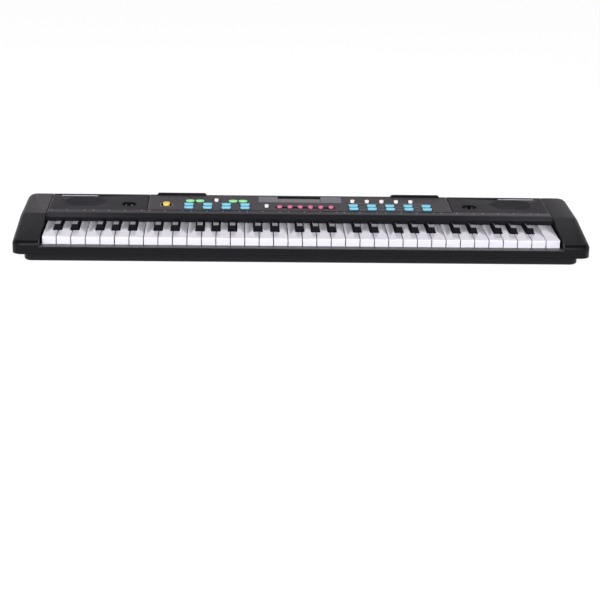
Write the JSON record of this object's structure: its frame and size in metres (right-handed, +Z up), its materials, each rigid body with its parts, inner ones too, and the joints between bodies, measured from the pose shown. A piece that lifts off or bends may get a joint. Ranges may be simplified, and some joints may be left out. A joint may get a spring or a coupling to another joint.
{
  "type": "electronic keyboard",
  "caption": "Portable electronic keyboard with full-size piano keys, a panel of coloured buttons around a display, two speaker panels and a battery bay in the underside.",
  "frame": {"origin": "centre of the footprint, on the surface that the keyboard stands on", "axes": "+X along the keys from low to high notes, +Y from the player to the rear, +Z up"},
  "size_m": [0.76, 0.1996, 0.0446],
  "materials": {
    "case_black": "satin black moulded plastic",
    "door_black": "smooth satin black moulded plastic",
    "panel_grey": "satin dark grey plastic",
    "speaker_grey": "satin dark grey plastic",
    "trim_silver": "silver paint on plastic, black round ports",
    "display_grey": "grey plates beside a grey window",
    "speaker_black": "black frame and cone",
    "frame_grey": "plain grey moulded plastic",
    "board_green": "green printed circuit board",
    "contact_rubber": "grey silicone rubber",
    "contact_steel": "nickel plated spring steel",
    "screw_steel": "zinc plated steel",
    "key_white": "glossy white",
    "key_black": "satin black",
    "button_yellow": "glossy yellow",
    "button_green": "glossy green",
    "button_blue": "glossy light blue",
    "button_white": "glossy white",
    "button_pink": "glossy pink"
  },
  "bodies": {
    "case": {"top_case": "case_black", "bottom_case": "case_black", "control_panel": "panel_grey", "speaker_panels": "speaker_grey", "panel_trim": "trim_silver", "display_window": "display_grey", "loudspeakers": "speaker_black", "key_frame": "frame_grey", "circuit_boards": "board_green", "rubber_contacts": "contact_rubber", "battery_contacts": "contact_steel", "case_screws": "screw_steel"},
    "white_key_c2": {"white_key_c2": "key_white"},
    "white_key_d2": {"white_key_d2": "key_white"},
    "white_key_e2": {"white_key_e2": "key_white"},
    "white_key_f2": {"white_key_f2": "key_white"},
    "white_key_g2": {"white_key_g2": "key_white"},
    "white_key_a2": {"white_key_a2": "key_white"},
    "white_key_b2": {"white_key_b2": "key_white"},
    "white_key_c3": {"white_key_c3": "key_white"},
    "white_key_d3": {"white_key_d3": "key_white"},
    "white_key_e3": {"white_key_e3": "key_white"},
    "white_key_f3": {"white_key_f3": "key_white"},
    "white_key_g3": {"white_key_g3": "key_white"},
    "white_key_a3": {"white_key_a3": "key_white"},
    "white_key_b3": {"white_key_b3": "key_white"},
    "white_key_c4": {"white_key_c4": "key_white"},
    "white_key_d4": {"white_key_d4": "key_white"},
    "white_key_e4": {"white_key_e4": "key_white"},
    "white_key_f4": {"white_key_f4": "key_white"},
    "white_key_g4": {"white_key_g4": "key_white"},
    "white_key_a4": {"white_key_a4": "key_white"},
    "white_key_b4": {"white_key_b4": "key_white"},
    "white_key_c5": {"white_key_c5": "key_white"},
    "white_key_d5": {"white_key_d5": "key_white"},
    "white_key_e5": {"white_key_e5": "key_white"},
    "white_key_f5": {"white_key_f5": "key_white"},
    "white_key_g5": {"white_key_g5": "key_white"},
    "white_key_a5": {"white_key_a5": "key_white"},
    "white_key_b5": {"white_key_b5": "key_white"},
    "white_key_c6": {"white_key_c6": "key_white"},
    "white_key_d6": {"white_key_d6": "key_white"},
    "white_key_e6": {"white_key_e6": "key_white"},
    "white_key_f6": {"white_key_f6": "key_white"},
    "white_key_g6": {"white_key_g6": "key_white"},
    "white_key_a6": {"white_key_a6": "key_white"},
    "white_key_b6": {"white_key_b6": "key_white"},
    "white_key_c7": {"white_key_c7": "key_white"},
    "black_keys_2": {"black_keys_2": "key_black"},
    "black_keys_3": {"black_keys_3": "key_black"},
    "black_keys_4": {"black_keys_4": "key_black"},
    "black_keys_5": {"black_keys_5": "key_black"},
    "black_keys_6": {"black_keys_6": "key_black"},
    "power_button": {"power_button": "button_yellow"},
    "green_buttons": {"green_buttons": "button_green"},
    "blue_buttons_left": {"blue_buttons_left": "button_blue"},
    "blue_buttons_right": {"blue_buttons_right": "button_blue"},
    "white_buttons": {"white_buttons": "button_white"},
    "pink_buttons": {"pink_buttons": "button_pink"},
    "battery_door": {"battery_door": "door_black"}
  },
  "joints": [
    {"name": "key_hinge_c2", "type": "hinge", "parent": "case", "child": "white_key_c2", "pos_m": [-0.33337, 0.0362, 0.0255], "axis": [1, 0, 0], "range_deg": [0, 3.8], "stiffness_Nm_per_rad": 0.5, "springref_deg": -5.73},
    {"name": "key_hinge_d2", "type": "hinge", "parent": "case", "child": "white_key_d2", "pos_m": [-0.31433, 0.0362, 0.0255], "axis": [1, 0, 0], "range_deg": [0, 3.8], "stiffness_Nm_per_rad": 0.5, "springref_deg": -5.73},
    {"name": "key_hinge_e2", "type": "hinge", "parent": "case", "child": "white_key_e2", "pos_m": [-0.29528, 0.0362, 0.0255], "axis": [1, 0, 0], "range_deg": [0, 3.8], "stiffness_Nm_per_rad": 0.5, "springref_deg": -5.73},
    {"name": "key_hinge_f2", "type": "hinge", "parent": "case", "child": "white_key_f2", "pos_m": [-0.27622, 0.0362, 0.0255], "axis": [1, 0, 0], "range_deg": [0, 3.8], "stiffness_Nm_per_rad": 0.5, "springref_deg": -5.73},
    {"name": "key_hinge_g2", "type": "hinge", "parent": "case", "child": "white_key_g2", "pos_m": [-0.25717, 0.0362, 0.0255], "axis": [1, 0, 0], "range_deg": [0, 3.8], "stiffness_Nm_per_rad": 0.5, "springref_deg": -5.73},
    {"name": "key_hinge_a2", "type": "hinge", "parent": "case", "child": "white_key_a2", "pos_m": [-0.23813, 0.0362, 0.0255], "axis": [1, 0, 0], "range_deg": [0, 3.8], "stiffness_Nm_per_rad": 0.5, "springref_deg": -5.73},
    {"name": "key_hinge_b2", "type": "hinge", "parent": "case", "child": "white_key_b2", "pos_m": [-0.21907, 0.0362, 0.0255], "axis": [1, 0, 0], "range_deg": [0, 3.8], "stiffness_Nm_per_rad": 0.5, "springref_deg": -5.73},
    {"name": "key_hinge_c3", "type": "hinge", "parent": "case", "child": "white_key_c3", "pos_m": [-0.20003, 0.0362, 0.0255], "axis": [1, 0, 0], "range_deg": [0, 3.8], "stiffness_Nm_per_rad": 0.5, "springref_deg": -5.73},
    {"name": "key_hinge_d3", "type": "hinge", "parent": "case", "child": "white_key_d3", "pos_m": [-0.18097, 0.0362, 0.0255], "axis": [1, 0, 0], "range_deg": [0, 3.8], "stiffness_Nm_per_rad": 0.5, "springref_deg": -5.73},
    {"name": "key_hinge_e3", "type": "hinge", "parent": "case", "child": "white_key_e3", "pos_m": [-0.16193, 0.0362, 0.0255], "axis": [1, 0, 0], "range_deg": [0, 3.8], "stiffness_Nm_per_rad": 0.5, "springref_deg": -5.73},
    {"name": "key_hinge_f3", "type": "hinge", "parent": "case", "child": "white_key_f3", "pos_m": [-0.14288, 0.0362, 0.0255], "axis": [1, 0, 0], "range_deg": [0, 3.8], "stiffness_Nm_per_rad": 0.5, "springref_deg": -5.73},
    {"name": "key_hinge_g3", "type": "hinge", "parent": "case", "child": "white_key_g3", "pos_m": [-0.12383, 0.0362, 0.0255], "axis": [1, 0, 0], "range_deg": [0, 3.8], "stiffness_Nm_per_rad": 0.5, "springref_deg": -5.73},
    {"name": "key_hinge_a3", "type": "hinge", "parent": "case", "child": "white_key_a3", "pos_m": [-0.10477, 0.0362, 0.0255], "axis": [1, 0, 0], "range_deg": [0, 3.8], "stiffness_Nm_per_rad": 0.5, "springref_deg": -5.73},
    {"name": "key_hinge_b3", "type": "hinge", "parent": "case", "child": "white_key_b3", "pos_m": [-0.08572, 0.0362, 0.0255], "axis": [1, 0, 0], "range_deg": [0, 3.8], "stiffness_Nm_per_rad": 0.5, "springref_deg": -5.73},
    {"name": "key_hinge_c4", "type": "hinge", "parent": "case", "child": "white_key_c4", "pos_m": [-0.06667, 0.0362, 0.0255], "axis": [1, 0, 0], "range_deg": [0, 3.8], "stiffness_Nm_per_rad": 0.5, "springref_deg": -5.73},
    {"name": "key_hinge_d4", "type": "hinge", "parent": "case", "child": "white_key_d4", "pos_m": [-0.04763, 0.0362, 0.0255], "axis": [1, 0, 0], "range_deg": [0, 3.8], "stiffness_Nm_per_rad": 0.5, "springref_deg": -5.73},
    {"name": "key_hinge_e4", "type": "hinge", "parent": "case", "child": "white_key_e4", "pos_m": [-0.02857, 0.0362, 0.0255], "axis": [1, 0, 0], "range_deg": [0, 3.8], "stiffness_Nm_per_rad": 0.5, "springref_deg": -5.73},
    {"name": "key_hinge_f4", "type": "hinge", "parent": "case", "child": "white_key_f4", "pos_m": [-0.00953, 0.0362, 0.0255], "axis": [1, 0, 0], "range_deg": [0, 3.8], "stiffness_Nm_per_rad": 0.5, "springref_deg": -5.73},
    {"name": "key_hinge_g4", "type": "hinge", "parent": "case", "child": "white_key_g4", "pos_m": [0.00953, 0.0362, 0.0255], "axis": [1, 0, 0], "range_deg": [0, 3.8], "stiffness_Nm_per_rad": 0.5, "springref_deg": -5.73},
    {"name": "key_hinge_a4", "type": "hinge", "parent": "case", "child": "white_key_a4", "pos_m": [0.02857, 0.0362, 0.0255], "axis": [1, 0, 0], "range_deg": [0, 3.8], "stiffness_Nm_per_rad": 0.5, "springref_deg": -5.73},
    {"name": "key_hinge_b4", "type": "hinge", "parent": "case", "child": "white_key_b4", "pos_m": [0.04763, 0.0362, 0.0255], "axis": [1, 0, 0], "range_deg": [0, 3.8], "stiffness_Nm_per_rad": 0.5, "springref_deg": -5.73},
    {"name": "key_hinge_c5", "type": "hinge", "parent": "case", "child": "white_key_c5", "pos_m": [0.06667, 0.0362, 0.0255], "axis": [1, 0, 0], "range_deg": [0, 3.8], "stiffness_Nm_per_rad": 0.5, "springref_deg": -5.73},
    {"name": "key_hinge_d5", "type": "hinge", "parent": "case", "child": "white_key_d5", "pos_m": [0.08572, 0.0362, 0.0255], "axis": [1, 0, 0], "range_deg": [0, 3.8], "stiffness_Nm_per_rad": 0.5, "springref_deg": -5.73},
    {"name": "key_hinge_e5", "type": "hinge", "parent": "case", "child": "white_key_e5", "pos_m": [0.10477, 0.0362, 0.0255], "axis": [1, 0, 0], "range_deg": [0, 3.8], "stiffness_Nm_per_rad": 0.5, "springref_deg": -5.73},
    {"name": "key_hinge_f5", "type": "hinge", "parent": "case", "child": "white_key_f5", "pos_m": [0.12383, 0.0362, 0.0255], "axis": [1, 0, 0], "range_deg": [0, 3.8], "stiffness_Nm_per_rad": 0.5, "springref_deg": -5.73},
    {"name": "key_hinge_g5", "type": "hinge", "parent": "case", "child": "white_key_g5", "pos_m": [0.14288, 0.0362, 0.0255], "axis": [1, 0, 0], "range_deg": [0, 3.8], "stiffness_Nm_per_rad": 0.5, "springref_deg": -5.73},
    {"name": "key_hinge_a5", "type": "hinge", "parent": "case", "child": "white_key_a5", "pos_m": [0.16193, 0.0362, 0.0255], "axis": [1, 0, 0], "range_deg": [0, 3.8], "stiffness_Nm_per_rad": 0.5, "springref_deg": -5.73},
    {"name": "key_hinge_b5", "type": "hinge", "parent": "case", "child": "white_key_b5", "pos_m": [0.18097, 0.0362, 0.0255], "axis": [1, 0, 0], "range_deg": [0, 3.8], "stiffness_Nm_per_rad": 0.5, "springref_deg": -5.73},
    {"name": "key_hinge_c6", "type": "hinge", "parent": "case", "child": "white_key_c6", "pos_m": [0.20003, 0.0362, 0.0255], "axis": [1, 0, 0], "range_deg": [0, 3.8], "stiffness_Nm_per_rad": 0.5, "springref_deg": -5.73},
    {"name": "key_hinge_d6", "type": "hinge", "parent": "case", "child": "white_key_d6", "pos_m": [0.21907, 0.0362, 0.0255], "axis": [1, 0, 0], "range_deg": [0, 3.8], "stiffness_Nm_per_rad": 0.5, "springref_deg": -5.73},
    {"name": "key_hinge_e6", "type": "hinge", "parent": "case", "child": "white_key_e6", "pos_m": [0.23813, 0.0362, 0.0255], "axis": [1, 0, 0], "range_deg": [0, 3.8], "stiffness_Nm_per_rad": 0.5, "springref_deg": -5.73},
    {"name": "key_hinge_f6", "type": "hinge", "parent": "case", "child": "white_key_f6", "pos_m": [0.25717, 0.0362, 0.0255], "axis": [1, 0, 0], "range_deg": [0, 3.8], "stiffness_Nm_per_rad": 0.5, "springref_deg": -5.73},
    {"name": "key_hinge_g6", "type": "hinge", "parent": "case", "child": "white_key_g6", "pos_m": [0.27622, 0.0362, 0.0255], "axis": [1, 0, 0], "range_deg": [0, 3.8], "stiffness_Nm_per_rad": 0.5, "springref_deg": -5.73},
    {"name": "key_hinge_a6", "type": "hinge", "parent": "case", "child": "white_key_a6", "pos_m": [0.29528, 0.0362, 0.0255], "axis": [1, 0, 0], "range_deg": [0, 3.8], "stiffness_Nm_per_rad": 0.5, "springref_deg": -5.73},
    {"name": "key_hinge_b6", "type": "hinge", "parent": "case", "child": "white_key_b6", "pos_m": [0.31433, 0.0362, 0.0255], "axis": [1, 0, 0], "range_deg": [0, 3.8], "stiffness_Nm_per_rad": 0.5, "springref_deg": -5.73},
    {"name": "key_hinge_c7", "type": "hinge", "parent": "case", "child": "white_key_c7", "pos_m": [0.33337, 0.0362, 0.0255], "axis": [1, 0, 0], "range_deg": [0, 3.8], "stiffness_Nm_per_rad": 0.5, "springref_deg": -5.73},
    {"name": "black_keys_2_hinge", "type": "hinge", "parent": "case", "child": "black_keys_2", "pos_m": [-0.27622, 0.0362, 0.0255], "axis": [1, 0, 0], "range_deg": [0, 3.7], "stiffness_Nm_per_rad": 2.5, "springref_deg": -5.73},
    {"name": "black_keys_3_hinge", "type": "hinge", "parent": "case", "child": "black_keys_3", "pos_m": [-0.14288, 0.0362, 0.0255], "axis": [1, 0, 0], "range_deg": [0, 3.7], "stiffness_Nm_per_rad": 2.5, "springref_deg": -5.73},
    {"name": "black_keys_4_hinge", "type": "hinge", "parent": "case", "child": "black_keys_4", "pos_m": [-0.00953, 0.0362, 0.0255], "axis": [1, 0, 0], "range_deg": [0, 3.7], "stiffness_Nm_per_rad": 2.5, "springref_deg": -5.73},
    {"name": "black_keys_5_hinge", "type": "hinge", "parent": "case", "child": "black_keys_5", "pos_m": [0.12383, 0.0362, 0.0255], "axis": [1, 0, 0], "range_deg": [0, 3.7], "stiffness_Nm_per_rad": 2.5, "springref_deg": -5.73},
    {"name": "black_keys_6_hinge", "type": "hinge", "parent": "case", "child": "black_keys_6", "pos_m": [0.25717, 0.0362, 0.0255], "axis": [1, 0, 0], "range_deg": [0, 3.7], "stiffness_Nm_per_rad": 2.5, "springref_deg": -5.73},
    {"name": "power_button_press", "type": "slide", "parent": "case", "child": "power_button", "axis": [0, 0, -1], "range_m": [0, 0.0012], "stiffness_N_per_m": 400, "springref_m": -0.002},
    {"name": "green_buttons_press", "type": "slide", "parent": "case", "child": "green_buttons", "axis": [0, 0, -1], "range_m": [0, 0.0012], "stiffness_N_per_m": 400, "springref_m": -0.002},
    {"name": "blue_buttons_left_press", "type": "slide", "parent": "case", "child": "blue_buttons_left", "axis": [0, 0, -1], "range_m": [0, 0.0012], "stiffness_N_per_m": 400, "springref_m": -0.002},
    {"name": "blue_buttons_right_press", "type": "slide", "parent": "case", "child": "blue_buttons_right", "axis": [0, 0, -1], "range_m": [0, 0.0012], "stiffness_N_per_m": 400, "springref_m": -0.002},
    {"name": "white_buttons_press", "type": "slide", "parent": "case", "child": "white_buttons", "axis": [0, 0, -1], "range_m": [0, 0.0012], "stiffness_N_per_m": 400, "springref_m": -0.002},
    {"name": "pink_buttons_press", "type": "slide", "parent": "case", "child": "pink_buttons", "axis": [0, 0, -1], "range_m": [0, 0.0012], "stiffness_N_per_m": 400, "springref_m": -0.002},
    {"name": "battery_door_lift", "type": "slide", "parent": "case", "child": "battery_door", "axis": [0, 0, -1], "range_m": [0, 0.06]}
  ]
}
